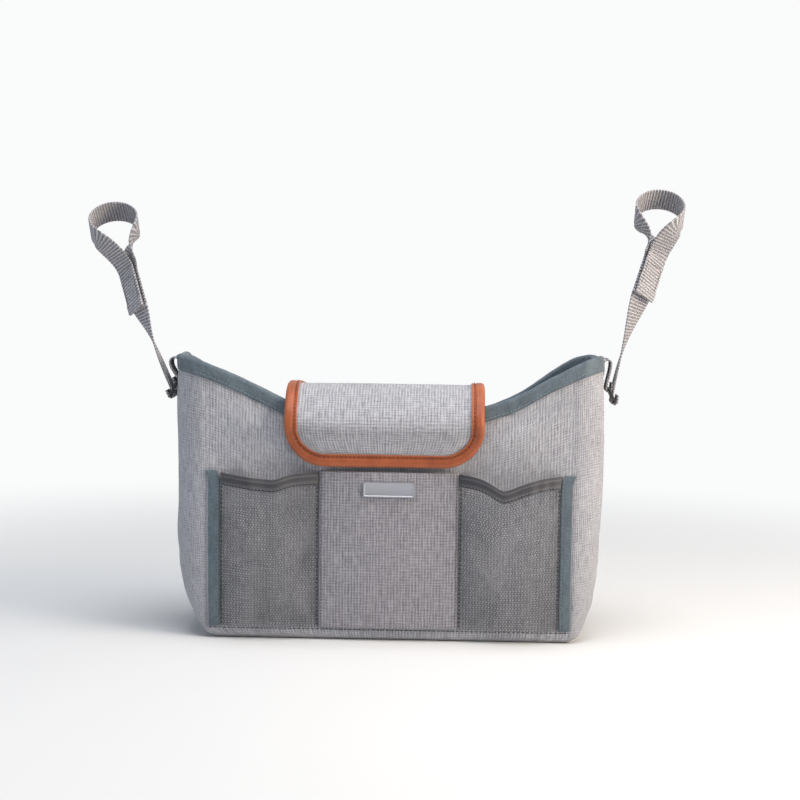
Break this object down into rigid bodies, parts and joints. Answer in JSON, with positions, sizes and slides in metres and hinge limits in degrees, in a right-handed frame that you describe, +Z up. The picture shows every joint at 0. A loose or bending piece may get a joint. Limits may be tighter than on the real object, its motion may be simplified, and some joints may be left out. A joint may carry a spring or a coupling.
{
  "type": "stroller organizer",
  "caption": "Soft organizer bag with an open top, closing flap, net and flat front pockets, and two webbing straps that loop over a handlebar.",
  "frame": {"origin": "centre of the flat underside of the base", "axes": "+X to the right seen from the front, +Y from the front to the back, +Z up"},
  "size_m": [0.4781, 0.1305, 0.3609],
  "materials": {
    "heather_cloth": "heather grey woven polyester, matt",
    "slate_binding": "slate woven binding and lining, slight sheen",
    "charcoal_binding": "charcoal elastic binding, matt",
    "netting": "charcoal knitted net",
    "tan_leather": "tan grained leather, satin",
    "grey_webbing": "heather grey ribbed webbing",
    "black_plastic": "moulded, fine matt",
    "satin_metal": "satin",
    "hook_tape": "hook and loop tape"
  },
  "bodies": {
    "root": {"front_panel": "heather_cloth", "back_panel": "heather_cloth", "left_gusset": "heather_cloth", "right_gusset": "heather_cloth", "base_panel": "heather_cloth", "flap": "heather_cloth", "centre_pocket": "heather_cloth", "lining": "slate_binding", "front_rim_binding": "slate_binding", "back_rim_binding": "slate_binding", "left_rim_binding": "slate_binding", "right_rim_binding": "slate_binding", "left_pocket_side_binding": "slate_binding", "right_pocket_side_binding": "slate_binding", "left_pocket_top_binding": "charcoal_binding", "right_pocket_top_binding": "charcoal_binding", "left_net_wall": "netting", "right_net_wall": "netting", "flap_trim": "tan_leather", "left_side_tab": "grey_webbing", "right_side_tab": "grey_webbing", "left_handle_strap": "grey_webbing", "right_handle_strap": "grey_webbing", "left_slider": "black_plastic", "right_slider": "black_plastic", "badge": "satin_metal", "flap_snap": "satin_metal", "panel_snap": "satin_metal", "left_hook_tape": "hook_tape", "right_hook_tape": "hook_tape", "left_loop_tape": "hook_tape", "right_loop_tape": "hook_tape"}
  },
  "joints": []
}
